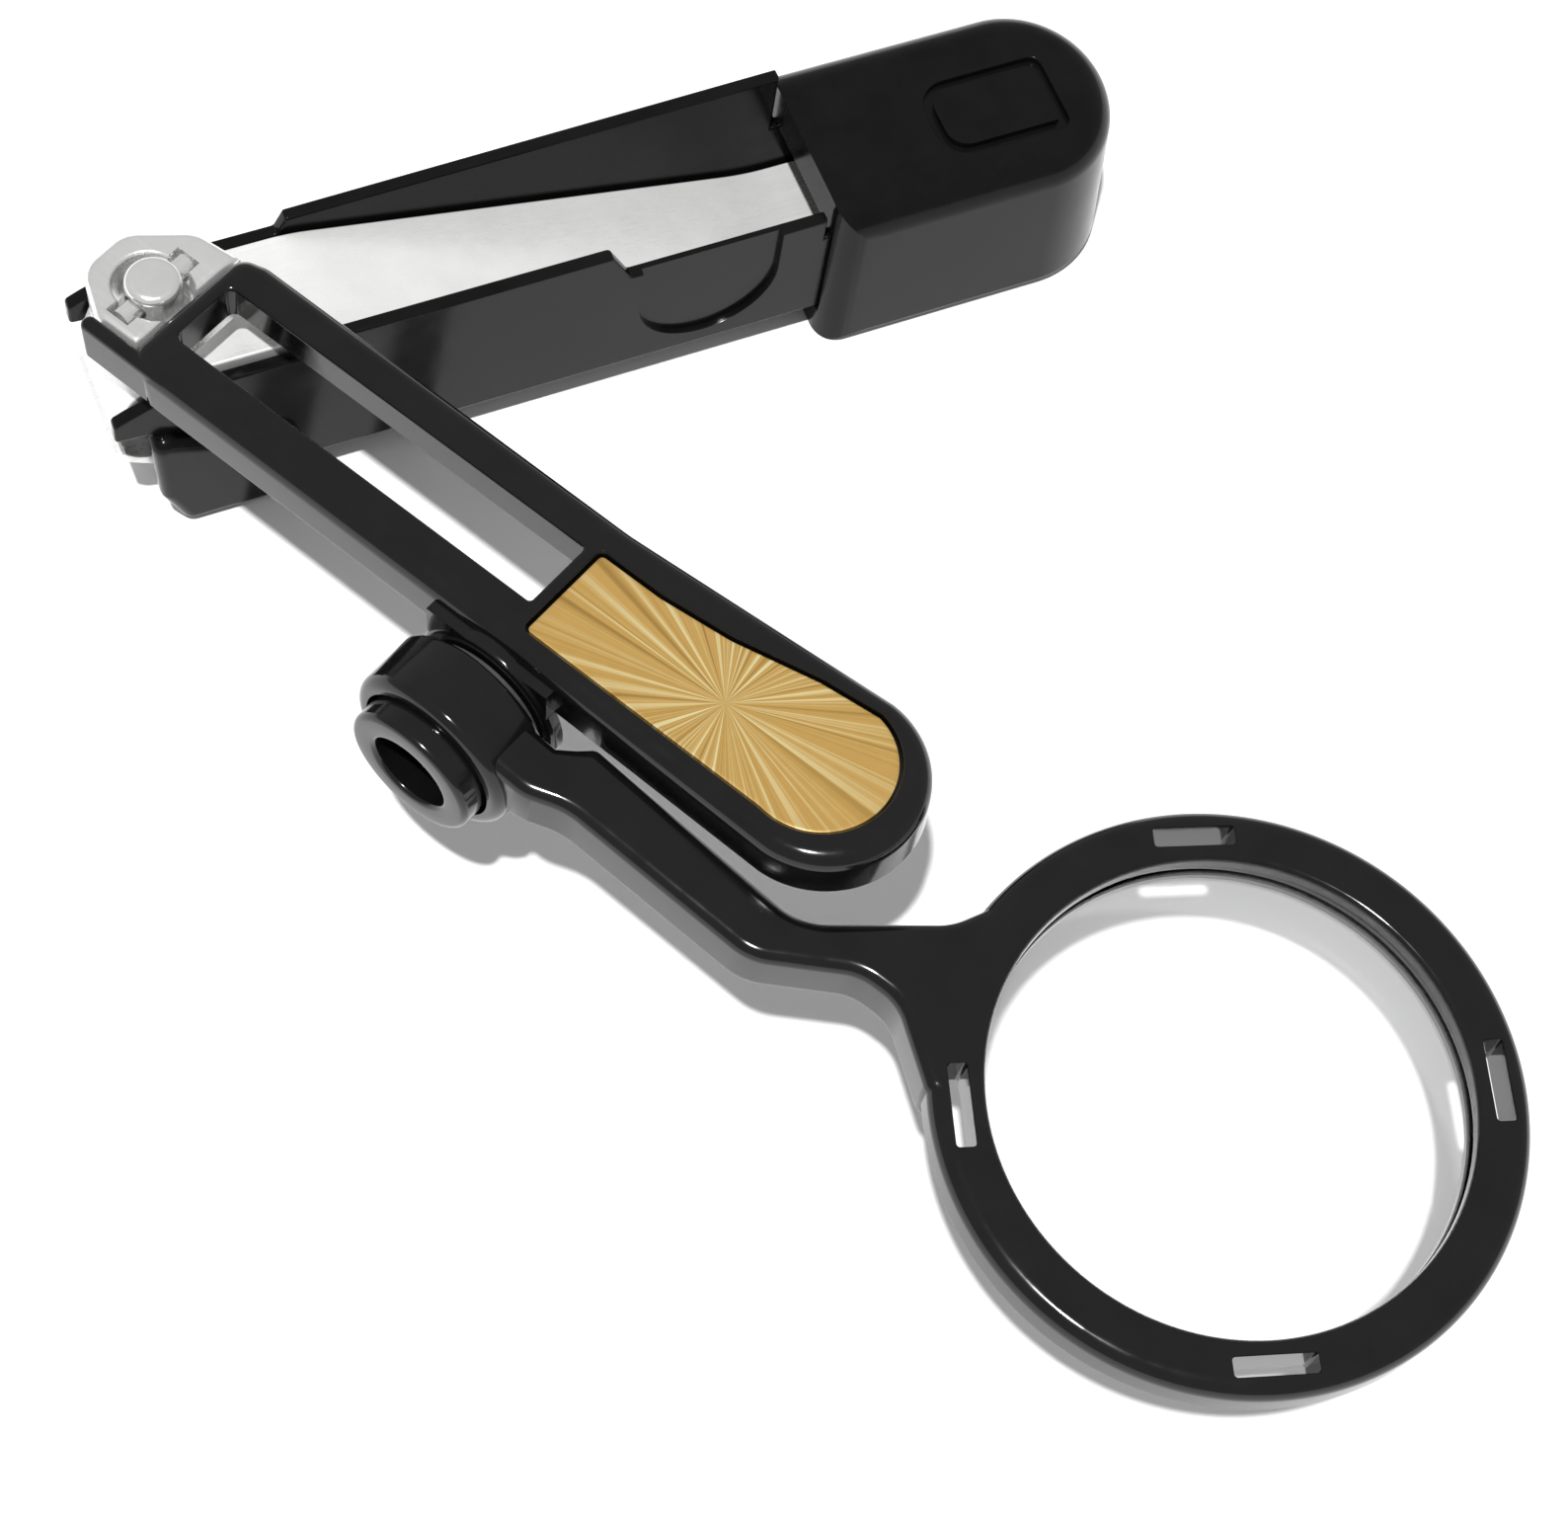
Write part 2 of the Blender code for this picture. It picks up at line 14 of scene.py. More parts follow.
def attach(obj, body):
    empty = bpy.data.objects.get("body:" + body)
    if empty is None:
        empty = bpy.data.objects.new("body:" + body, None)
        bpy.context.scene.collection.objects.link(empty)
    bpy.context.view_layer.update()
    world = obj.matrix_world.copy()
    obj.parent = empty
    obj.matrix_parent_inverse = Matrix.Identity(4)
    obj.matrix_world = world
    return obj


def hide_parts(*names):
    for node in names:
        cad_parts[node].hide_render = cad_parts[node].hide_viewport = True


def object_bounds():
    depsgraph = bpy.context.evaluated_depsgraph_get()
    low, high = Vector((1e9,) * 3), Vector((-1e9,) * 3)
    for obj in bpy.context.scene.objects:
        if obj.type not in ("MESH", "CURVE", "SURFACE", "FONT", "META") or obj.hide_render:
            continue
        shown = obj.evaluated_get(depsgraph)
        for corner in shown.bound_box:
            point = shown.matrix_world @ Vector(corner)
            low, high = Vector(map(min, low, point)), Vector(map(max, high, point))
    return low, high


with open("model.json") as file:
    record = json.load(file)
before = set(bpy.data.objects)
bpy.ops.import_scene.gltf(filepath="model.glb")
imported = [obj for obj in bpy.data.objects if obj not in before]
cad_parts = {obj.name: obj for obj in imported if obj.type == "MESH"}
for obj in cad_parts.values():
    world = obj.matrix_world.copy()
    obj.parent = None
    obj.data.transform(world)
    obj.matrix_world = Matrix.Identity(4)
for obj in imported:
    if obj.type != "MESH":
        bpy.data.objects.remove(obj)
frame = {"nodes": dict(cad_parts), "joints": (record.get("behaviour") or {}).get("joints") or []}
CAD_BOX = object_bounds()
MM = 0.001
JOINTS = {joint["name"]: joint for joint in frame["joints"]}

# Frames: x runs to the rear, z up. In LEVER and HUB, y runs along the hinge, away from the drum
LEVER_RISE = 3.73  # degrees
HUB_DROP = 2.28  # degrees


def hinge_frame(joint, rise):
    """The frame on a hinge across the lever, with its x axis rising to the rear by so many degrees."""
    across = -Vector(JOINTS[joint]["axis"]).normalized()
    level = Vector((across.y, -across.x, 0.0))
    back = level * math.cos(math.radians(rise)) + Vector((0, 0, math.sin(math.radians(rise))))
    up = back.cross(across)
    turn = Matrix((back, across, up)).transposed().to_4x4()
    return Matrix.Translation(Vector(JOINTS[joint]["pos_m"])) @ turn


POST = Matrix.Translation((JOINTS["lever_swivel"]["pos_m"][0], 0, 0))  # on the table, under the post
LEVER = hinge_frame("lever_tilt", LEVER_RISE)
HUB = hinge_frame("magnifier_swing", -HUB_DROP)
ON_EDGE = Matrix.Rotation(math.radians(90), 4, "X")  # stands an outline up: y becomes z, height becomes -y
ACROSS = Matrix.Rotation(math.radians(-90), 4, "X")  # turns a lathe's axis from z to y

GAP = 0.3  # running clearance

# Case and blades
CASE_HALF = 6.2
CASE_INSIDE = 5.1
CASE_BOTTOM = 3.1
FLOOR_TOP = 4.2
CASE_REAR = 72.0
WALL_TOP = 18.6
NOSE_TOP = 16.9
FOOT_HALF = 7.4
BLADE_HALF = 4.8
BLADE_TOP = 17.35
RIVET_X = 64.0
CAP_MOUTH = 53.4
CAP_REAR = 81.5
CAP_TOP = 17.2
CAP_HALF = 8.3
CAP_ROUND = 3.0
GROOVE_WIDTH, GROOVE_DEPTH = 0.85, 0.6

# Lever
PIN_RADIUS = 0.8
EYE_RADIUS = 2.2
PIN_HEIGHT = 21.8
LEVER_TOP = 1.9
LEVER_UNDER = -2.7
COVER_FRONT = 3.2
CHEEK_FRONT = -1.4
CHEEK_INSIDE = -5.1
SLOT_FRONT, SLOT_REAR, SLOT_NEAR, SLOT_FAR = 5.0, 39.4, -2.75, 3.15
TAIL_CENTRE = (63.6, 0.5)
TAIL_RADIUS = 7.5
HUB_X = 39.4
HUB_Z = -5.3
BOSS_RADIUS = 6.3
BOSS_INNER, BOSS_OUTER = -6.5, -7.6

# Magnifier
DRUM_RADIUS = 6.9
DRUM_INNER, DRUM_OUTER, DRUM_FLOOR = -8.6, -14.0, -10.5
SLEEVE_RADIUS = 5.4
SLEEVE_BORE = 3.2
SLEEVE_END = -16.0
BORE_END = -11.6
JOURNAL_RADIUS = 2.4
RING_CENTRE = (58.77, 3.22)  # 0.04 mm from the CAD's, where faces of ring and arm would nearly coincide
RING_OUTER = 21.4
RING_INNER = 17.4
RING_LOW, RING_HIGH = 1.2, 4.7
LENS_SEAT = 3.4
SEAT_RADIUS = 18.2
LENS_RADIUS = 17.9
LENS_EDGE = 1.0
LENS_BULGE = 1.2
RETAINER_LOW, RETAINER_HIGH = 1.2, 1.8
ARM_LOW = -0.3
WINDOW_MIDDLE = 19.2
WINDOW_LENGTH, WINDOW_WIDTH = 6.0, 1.4
WINDOW_ANGLES = (45.0, 135.0, 225.0, 315.0)

# Looks
SHARP_EDGE = 32  # degrees between two faces from which their edge isn't shaded smooth
LABEL_MIDDLE = 55.0  # where the rays meet, along the lever
BLACK = (0.0030, 0.0030, 0.0030)
SOFT_BLACK = (0.0035, 0.0035, 0.0038)
CREAM = (0.55, 0.48, 0.27)
ALONG_STRIP = (0.03, 1.0, 1.0)  # draws a noise out along x
ROUND_BAR = (1.0, 1.0, 0.1)  # draws a noise out along z


# ---------------------------------------------------------------- outlines


def arc(centre, radius, start, end, steps):
    points = []
    for step in range(steps + 1):
        angle = math.radians(start + (end - start) * step / steps)
        points.append((centre[0] + radius * math.cos(angle), centre[1] + radius * math.sin(angle)))
    return points


def rounded(corners, steps=8):
    """A closed outline through corners (x, y) or (x, y, radius), with each stated radius as an arc."""
    outline = []
    count = len(corners)
    for index, corner in enumerate(corners):
        here = Vector(corner[:2])
        radius = corner[2] if len(corner) > 2 else 0.0
        if not radius:
            outline.append(tuple(here))
            continue
        back = (Vector(corners[index - 1][:2]) - here).normalized()
        ahead = (Vector(corners[(index + 1) % count][:2]) - here).normalized()
        half = back.angle(ahead) / 2
        centre = here + (back + ahead).normalized() * (radius / math.sin(half))
        first = here + back * (radius / math.tan(half)) - centre
        last = here + ahead * (radius / math.tan(half)) - centre
        sweep = -first.angle_signed(last)
        for step in range(steps + 1):
            turn = Matrix.Rotation(sweep * step / steps, 2)
            outline.append(tuple(centre + turn @ first))
    return outline


def dense(outline, spacing):
    """The outline with points added along its long edges, so that it can be inset and shaded evenly."""
    points = []
    for index, start in enumerate(outline):
        end = outline[(index + 1) % len(outline)]
        pieces = max(1, round(math.dist(start, end) / spacing))
        for piece in range(pieces):
            part = piece / pieces
            points.append((start[0] + (end[0] - start[0]) * part, start[1] + (end[1] - start[1]) * part))
    return points


def signed_area(outline):
    return sum(a[0] * b[1] - b[0] * a[1] for a, b in zip(outline, outline[1:] + outline[:1])) / 2


def inset(outline, depth):
    """The outline moved inwards by a depth, or outwards by a negative one."""
    side = 1 if signed_area(outline) > 0 else -1
    moved = []
    count = len(outline)
    for index, point in enumerate(outline):
        here = Vector(point)
        first = (here - Vector(outline[index - 1])).normalized()
        second = (Vector(outline[(index + 1) % count]) - here).normalized()
        inward = Vector((-(first + second).y, (first + second).x)).normalized() * side
        reach = depth / max(0.5, inward.dot(Vector((-first.y, first.x)) * side))
        moved.append(tuple(here + inward * reach))
    return moved


# ---------------------------------------------------------------- solids


def mesh_object(name, work, place):
    bmesh.ops.recalc_face_normals(work, faces=work.faces)
    mesh = bpy.data.meshes.new(name)
    work.to_mesh(mesh)
    work.free()
    mesh.transform(Matrix.Diagonal((MM, MM, MM, 1)))
    made = bpy.data.objects.new(name, mesh)
    made.matrix_world = place
    bpy.context.scene.collection.objects.link(made)
    return made


def stacked(name, sections, place):
    """A closed solid through outlines of equal count at rising heights: (outline, height) pairs."""
    work = bmesh.new()
    rings = [[work.verts.new((x, y, height)) for x, y in outline] for outline, height in sections]
    for lower, upper in zip(rings, rings[1:]):
        for index in range(len(lower)):
            after = (index + 1) % len(lower)
            work.faces.new((lower[index], lower[after], upper[after], upper[index]))
    work.faces.new(rings[0])
    work.faces.new(rings[-1])
    return mesh_object(name, work, place)


def slab(name, outline, low, high, place, top=0.0, bottom=0.0, steps=5):
    """An outline given thickness, with its two edges rounded, or flared outwards by a negative radius."""
    sections = [] if bottom else [(outline, low)]
    turns = [math.radians(90 * step / steps) for step in range(steps + 1)]
    if bottom:
        for angle in turns:
            drawn_in = inset(outline, bottom * (1 - math.sin(angle)))
            sections.append((drawn_in, low + abs(bottom) * (1 - math.cos(angle))))
    if top:
        for angle in turns:
            drawn_in = inset(outline, top * (1 - math.cos(angle)))
            sections.append((drawn_in, high - abs(top) * (1 - math.sin(angle))))
    else:
        sections.append((outline, high))
    return stacked(name, sections, place)


def turned(name, profile, sides, place):
    """A solid of revolution about z from (radius, height) points, ending on the axis or closing as a ring."""
    work = bmesh.new()
    closed = min(radius for radius, _ in profile) > 0
    rings = []
    for radius, height in profile:
        if radius == 0:
            rings.append([work.verts.new((0, 0, height))])
            continue
        ring = []
        for side in range(sides):
            angle = 2 * math.pi * side / sides
            ring.append(work.verts.new((radius * math.cos(angle), radius * math.sin(angle), height)))
        rings.append(ring)
    pairs = list(zip(rings, rings[1:])) + ([(rings[-1], rings[0])] if closed else [])
    for first, second in pairs:
        for side in range(sides):
            after = (side + 1) % sides
            corners = [first[side % len(first)], first[after % len(first)]]
            corners += [second[after % len(second)], second[side % len(second)]]
            unique = list(dict.fromkeys(corners))
            if len(unique) > 2:
                work.faces.new(unique)
    return mesh_object(name, work, place)


def rod(name, radius, low, high, sides, place):
    return turned(name, [(0, high), (radius, high), (radius, low), (0, low)], sides, place)


def brick(name, low, high, place):
    corners = [(low[0], low[1]), (high[0], low[1]), (high[0], high[1]), (low[0], high[1])]
    return stacked(name, [(corners, low[2]), (corners, high[2])], place)


def at(place, x=0.0, y=0.0, z=0.0):
    return place @ Matrix.Translation(Vector((x, y, z)) * MM)


def combine(target, operation, others):
    """Joins the others to the target or cuts them from it, for good, and removes them."""
    for other in others:
        boolean = target.modifiers.new(other.name, "BOOLEAN")
        boolean.operation = operation
        boolean.solver = "EXACT"
        boolean.object = other
    graph = bpy.context.evaluated_depsgraph_get()
    mesh = bpy.data.meshes.new_from_object(target.evaluated_get(graph))
    target.modifiers.clear()
    target.data = mesh
    for other in others:
        bpy.data.objects.remove(other, do_unlink=True)


def cut(target, *others):
    combine(target, "DIFFERENCE", others)


def join(target, *others):
    combine(target, "UNION", others)


def finished(piece, material, body, slot, *nodes, edging=None):
    """Shades a piece, gives it its material, and makes it ride on its body in place of its CAD nodes."""
    mesh = piece.data
    mesh.name = piece.name
    mesh.materials.clear()
    mesh.materials.append(material)
    if edging:
        mesh.materials.append(edging)
    mesh.shade_smooth()
    mesh.set_sharp_from_angle(angle=math.radians(SHARP_EDGE))
    weighted = piece.modifiers.new("weighted", "WEIGHTED_NORMAL")
    weighted.keep_sharp = True
    weighted.weight = 80
    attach(piece, body)
    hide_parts(*nodes)


# ---------------------------------------------------------------- materials


class Nodes:
    """A material's node tree, with short calls for the nodes used here."""

    def __init__(self, name):
        self.material = bpy.data.materials.new(name)
        self.material.use_nodes = True
        self.tree = self.material.node_tree
        self.shader = self.tree.nodes["Principled BSDF"]
        self.place = self.add("ShaderNodeTexCoord").outputs["Object"]

    def add(self, kind, **settings):
        node = self.tree.nodes.new(kind)
        for key, value in settings.items():
            setattr(node, key, value)
        return node

    def link(self, source, target):
        self.tree.links.new(source, target)

    def noise(self, scale, detail=3.0, roughness=0.55, stretch=None):
        source = self.place
        if stretch:
            mapping = self.add("ShaderNodeMapping")
            mapping.inputs["Scale"].default_value = stretch
            self.link(self.place, mapping.inputs["Vector"])
            source = mapping.outputs["Vector"]
        node = self.add("ShaderNodeTexNoise")
        node.inputs["Scale"].default_value = scale
        node.inputs["Detail"].default_value = detail
        node.inputs["Roughness"].default_value = roughness
        self.link(source, node.inputs["Vector"])
        return node.outputs["Fac"]

    def spread(self, source, low, high, start=0.3, end=0.7):
        node = self.add("ShaderNodeMapRange")
        for socket, value in (("From Min", start), ("From Max", end), ("To Min", low), ("To Max", high)):
            node.inputs[socket].default_value = value
        self.link(source, node.inputs["Value"])
        return node.outputs["Result"]

    def maths(self, operation, first, second=None):
        node = self.add("ShaderNodeMath", operation=operation)
        self.link(first, node.inputs[0])
        if second is not None:
            self.link(second, node.inputs[1])
        return node.outputs["Value"]

    def mix(self, factor, first, second):
        node = self.add("ShaderNodeMix", data_type="RGBA")
        self.link(factor, node.inputs["Factor"])
        for socket, value in ((node.inputs["A"], first), (node.inputs["B"], second)):
            if isinstance(value, tuple):
                socket.default_value = (*value, 1.0)
            else:
                self.link(value, socket)
        return node.outputs["Result"]

    def bump(self, source, strength, distance, below=None):
        node = self.add("ShaderNodeBump")
        node.inputs["Strength"].default_value = strength
        node.inputs["Distance"].default_value = distance
        self.link(source, node.inputs["Height"])
        if below:
            self.link(below, node.inputs["Normal"])
        return node.outputs["Normal"]

    def set(self, **values):
        for key, value in values.items():
            self.shader.inputs[key.replace("_", " ")].default_value = value

    def wire(self, source, socket):
        self.link(source, self.shader.inputs[socket])


def gloss_plastic(name, dark, light, gloss, shine):
    """Polished black moulding: slight waviness, patchy gloss and fine hairline scratches."""
    nodes = Nodes(name)
    nodes.wire(nodes.mix(nodes.spread(nodes.noise(260), 0, 1), dark, light), "Base Color")
    patches = nodes.spread(nodes.noise(420, 4), gloss, gloss + 0.10)
    nodes.wire(patches, "Roughness")
    waves = nodes.bump(nodes.noise(190, 2), 0.10, 0.00010)
    scratches = nodes.noise(2600, 2, 0.5, (1.0, 0.06, 1.0))
    nodes.wire(nodes.bump(scratches, 0.05, 0.00002, waves), "Normal")
    nodes.set(IOR=1.5, Specular_IOR_Level=shine)
    return nodes.material


def steel_painted_bright(name, stretch, gloss, metal):
    """Nickel-plated steel with a brushed grain. Its near-white colour on a partly non-metallic surface is a
    painted reflection of the white surround, so that it stays bright under one lamp.
    """
    nodes = Nodes(name)
    grain = nodes.noise(3200, 3, 0.6, stretch)
    patches = nodes.spread(nodes.noise(300), 0, 1)
    # near-white base colour, in random patches: a painted reflection of the white surround
    nodes.wire(nodes.mix(patches, (0.84, 0.84, 0.83), (0.90, 0.90, 0.89)), "Base Color")
    nodes.wire(nodes.spread(grain, gloss, gloss + 0.12), "Roughness")
    nodes.wire(nodes.bump(grain, 0.05, 0.00002), "Normal")
    nodes.set(Metallic=metal)
    return nodes.material


def gold_print(name, half):
    """Gold foil print with pale rays out of its middle, under lacquer. half is half its length in metres."""
    nodes = Nodes(name)
    split = nodes.add("ShaderNodeSeparateXYZ")
    nodes.link(nodes.place, split.inputs["Vector"])
    x, y = split.outputs["X"], split.outputs["Y"]
    angle = nodes.maths("ARCTAN2", y, x)
    ray = nodes.add("ShaderNodeTexNoise", noise_dimensions="1D")
    ray.inputs["Scale"].default_value = 9.0
    ray.inputs["Detail"].default_value = 3.0
    ray.inputs["Roughness"].default_value = 0.75
    nodes.link(angle, ray.inputs["W"])
    rays = nodes.spread(ray.outputs["Fac"], 0, 1, 0.50, 0.64)
    squares = nodes.maths("MULTIPLY", x, x), nodes.maths("MULTIPLY", y, y)
    away = nodes.maths("SQRT", nodes.maths("ADD", *squares))
    fade = nodes.spread(away, 1.0, 0.35, 0.15 * half, half)
    rays = nodes.maths("MULTIPLY", rays, fade)
    streaks = nodes.spread(ray.outputs["Fac"], 0, 1, 0.30, 0.46)
    deep = nodes.mix(streaks, (0.27, 0.155, 0.032), (0.42, 0.255, 0.065))
    nodes.wire(nodes.mix(rays, deep, (0.60, 0.52, 0.27)), "Base Color")
    nodes.wire(nodes.spread(nodes.noise(900, 3), 0.26, 0.38), "Roughness")
    nodes.wire(nodes.bump(nodes.noise(1500, 2), 0.04, 0.00003), "Normal")
    nodes.set(Metallic=0.25, Coat_Weight=0.3, Coat_Roughness=0.15)
    return nodes.material


def plain_print(name, colour):
    """Lacquered print in one colour."""
    nodes = Nodes(name)
    nodes.wire(nodes.mix(nodes.noise(700), colour, tuple(0.9 * part for part in colour)), "Base Color")
    nodes.set(Roughness=0.35)
    return nodes.material


def clear_acrylic(name):
    """Clear lens. Most of it is see-through, so that what lies below stays bright."""
    nodes = Nodes(name)
    nodes.wire(nodes.spread(nodes.noise(300), 0.01, 0.03), "Roughness")
    nodes.wire(nodes.bump(nodes.noise(90, 1), 0.01, 0.00002), "Normal")
    nodes.set(IOR=1.49, Transmission_Weight=1.0, Alpha=0.10)
    nodes.shader.inputs["Base Color"].default_value = (0.99, 1.0, 1.0, 1.0)
    return nodes.material


def dull_rubber(name):
    """Black rubber with a fine rough grain."""
    nodes = Nodes(name)
    nodes.wire(nodes.mix(nodes.noise(900), (0.03, 0.03, 0.03), (0.05, 0.05, 0.05)), "Base Color")
    nodes.wire(nodes.spread(nodes.noise(1400), 0.55, 0.75), "Roughness")
    nodes.wire(nodes.bump(nodes.noise(3000), 0.2, 0.00003), "Normal")
    return nodes.material


# ---------------------------------------------------------------- case and blades


def case_shell():
    """The channel: a floor, two stepped walls, a foot on each and a half-moon recess in the near wall."""
    nose = [(-5.5, 12.6, 0.3), (-5.5, 14.7, 0.5), (-4.4, 15.3, 0.5), (-1.0, NOSE_TOP, 1.0)]
    nose += [(11.2, NOSE_TOP, 0.3), (12.0, WALL_TOP, 0.3)]
    tail = [(53.0, 12.9), (CASE_REAR, 12.9), (CASE_REAR, CASE_BOTTOM), (4.0, CASE_BOTTOM, 0.6)]
    tail += [(0.5, 8.2, 2.0), (-2.6, 12.3, 0.6)]
    near_step = [(34.5, WALL_TOP, 0.4), (36.2, 15.3, 0.5), (53.0, 15.3)]
    foot = [(-3.0, 12.6, 1.1), (1.5, 10.6, 1.5), (9, 8, 1.5), (9, 3.3, 1.1)]
    foot = dense(rounded(foot + [(7, 0, 1.1), (-0.8, 0, 1.1), (-2.5, 4.2, 1.5)]), 1.0)
    low, high = (4.5, -5.6, CASE_BOTTOM + 0.05), (CASE_REAR - 0.05, 5.6, FLOOR_TOP)
    case = brick("case_shell", low, high, POST)
    for side, step in ((-1, near_step), (1, [(53.0, WALL_TOP + 0.8)])):
        faces = sorted((-side * CASE_INSIDE, -side * CASE_HALF))
        upright = rounded(nose + step + tail)
        wall = slab(f"wall{side}", upright, *faces, POST @ ON_EDGE, top=0.25, bottom=0.25, steps=3)
        faces = sorted((-side * (CASE_HALF - 0.4), -side * FOOT_HALF))
        edges = {"bottom": 1.0} if side > 0 else {"top": 1.0}
        pad = slab(f"foot{side}", foot, *faces, POST @ ON_EDGE, **edges)
        join(case, wall, pad)
    recess = arc((43.2, 10.65), 5.95, 180, 360, 40) + [(49.15, 20), (37.25, 20)]
    dent = slab("dent", recess, CASE_HALF - 0.5, CASE_HALF + 0.3, POST @ ON_EDGE, top=-0.5, steps=4)
    cut(case, dent, rod("well", 2.8, 2, 4.4, 48, at(POST, RIVET_X)))
    return case


def cap_shell():
    """The end cap: a rounded box open to the front, with a frame-shaped groove on top."""
    draft = 0.05  # how far the rear end leans forward at the top, as a share of the cap's length
    wall_low, wall_high = 0.9, CAP_TOP - CAP_ROUND
    outline = [(CAP_MOUTH - 4, -CAP_HALF)] + arc((CAP_REAR - CAP_HALF, 0), CAP_HALF, -90, 90, 48)
    outline = dense(outline + [(CAP_MOUTH - 4, CAP_HALF)], 2.0)
    leaning = [(x - draft * max(0.0, x - CAP_MOUTH), y) for x, y in outline]
    sections = []
    for step in range(6):
        angle = math.radians(90 * step / 5)
        drawn_in = inset(outline, wall_low * (1 - math.sin(angle)))
        sections.append((drawn_in, wall_low * (1 - math.cos(angle))))
    for step in range(11):
        angle = math.radians(90 * step / 10)
        drawn_in = inset(leaning, CAP_ROUND * (1 - math.cos(angle)))
        sections.append((drawn_in, wall_high + CAP_ROUND * math.sin(angle)))
    cap = stacked("end_cap", sections, POST)
    room = brick("room", (CAP_MOUTH - 5, -6.5, 2.8), (CASE_REAR + GAP, 6.5, 13.4), POST)
    groove_outline = rounded([(63.8, -4.9, 2.6), (74.8, -4.9, 1.0), (74.8, 2.4, 1.0), (63.8, 2.4, 2.6)])
    groove = slab("groove", groove_outline, CAP_TOP - GROOVE_DEPTH, CAP_TOP + 0.02, POST, top=-0.15, steps=3)
    cut(groove, slab("groove_island", inset(groove_outline, GROOVE_WIDTH), CAP_TOP - 1, CAP_TOP + 2, POST))
    mouth = brick("mouth", (CAP_MOUTH - 9, -12, -3), (CAP_MOUTH, 12, 20), POST)
    cut(cap, mouth, room, groove)
    turn = 2.4
    for side in (-1, 1):
        inner, outer = side * (CAP_HALF - turn), side * 10
        corner = arc((CAP_MOUTH + turn, inner), turn, 180, 180 + 90 * -side, 10)
        corner += [(CAP_MOUTH + turn, outer), (CAP_MOUTH - 0.5, outer), (CAP_MOUTH - 0.5, inner)]
        cut(cap, slab("mouth_corner", corner, -2, CAP_TOP + 2, POST))
    return cap


def blade_strip(name, side):
    """A steel strip as wide as the blades, from its side view."""
    edges = {"top": 0.2, "bottom": 0.2, "steps": 3}
    return slab(name, rounded(side, 10), -BLADE_HALF, BLADE_HALF, POST @ ON_EDGE, **edges)


def upper_spring():
    """The blade that rises to the upper jaw."""
    side = [(71.5, 6.4), (71.5, 8.0), (51.0, 8.0, 18.0), (12.0, BLADE_TOP, 14.0), (-1.0, BLADE_TOP, 2.2)]
    side += [(-3.8, 15.4, 3.0), (-5.2, 11.2), (-4.7, 11.1), (-3.0, 14.0, 3.0), (-0.6, 15.75, 2.0)]
    blade = blade_strip("upper_spring", side + [(12.0, 15.75, 14.0), (50.0, 6.45, 18.0)])
    hole = rod("hole", EYE_RADIUS + GAP, 10, 20, 48, POST)
    cut(blade, hole, rod("rivet_hole", 1.9, 0, 12, 32, at(POST, RIVET_X)))
    return blade


def lower_spring():
    """The blade on the case's floor, with the lower jaw turned up."""
    side = [(71.5, 4.5), (2.0, 4.5, 8.0), (-1.5, 5.2, 3.0), (-4.4, 7.0, 2.0), (-5.3, 8.5), (-4.8, 8.6)]
    side += [(-3.6, 7.5, 2.0), (-0.8, 6.4, 3.0), (3.0, 6.1, 8.0), (71.5, 6.1)]
    blade = blade_strip("lower_spring", side)
    cut(blade, rod("hole", 1.8, 0, 10, 48, POST), rod("rivet_hole", 1.5, 0, 10, 32, at(POST, RIVET_X)))
    return blade


def post_stem():
    """The post, with a shoulder over the upper blade, an eye for the pin and a head under the lower blade."""
    top = PIN_HEIGHT + 1.7
    shoulder = BLADE_TOP + 0.9
    profile = [(0, top)] + [(EYE_RADIUS - 0.7 + x, top - 0.7 + z) for x, z in arc((0, 0), 0.7, 90, 0, 6)]
    profile += [(EYE_RADIUS, shoulder + 0.2), (EYE_RADIUS - 0.2, shoulder), (1.5, shoulder), (1.5, 4.1)]
    profile += [(2.3, 4.1), (2.5, 3.9), (2.5, 3.4), (2.3, 3.2), (0, 3.2)]
    stem = turned("post_stem", profile, 64, POST)
    cut(stem, rod("eye", PIN_RADIUS + GAP, -5, 5, 32, LEVER @ ACROSS))
    return stem


# ---------------------------------------------------------------- lever


def cover_outline():
    near = [(COVER_FRONT, -5.9, 1.7), (5.6, -6.55, 2), (42, -6.6, 20)]
    far = [(41, 6.5, 20), (5.6, 6.6, 2), (COVER_FRONT, 6.0, 1.7)]
    return dense(rounded(near + arc(TAIL_CENTRE, TAIL_RADIUS, -88, 88, 44) + far), 1.5)


def label_outline():
    corners = [(40.4, -4.8, 0.6)] + arc((62.9, 0.75), 5.75, -100, 80, 40)
    return dense(rounded(corners + [(59, 5.9, 4), (52, 4.4, 8), (46, 3.8, 4), (40.4, 3.8, 0.6)], 10), 1.0)


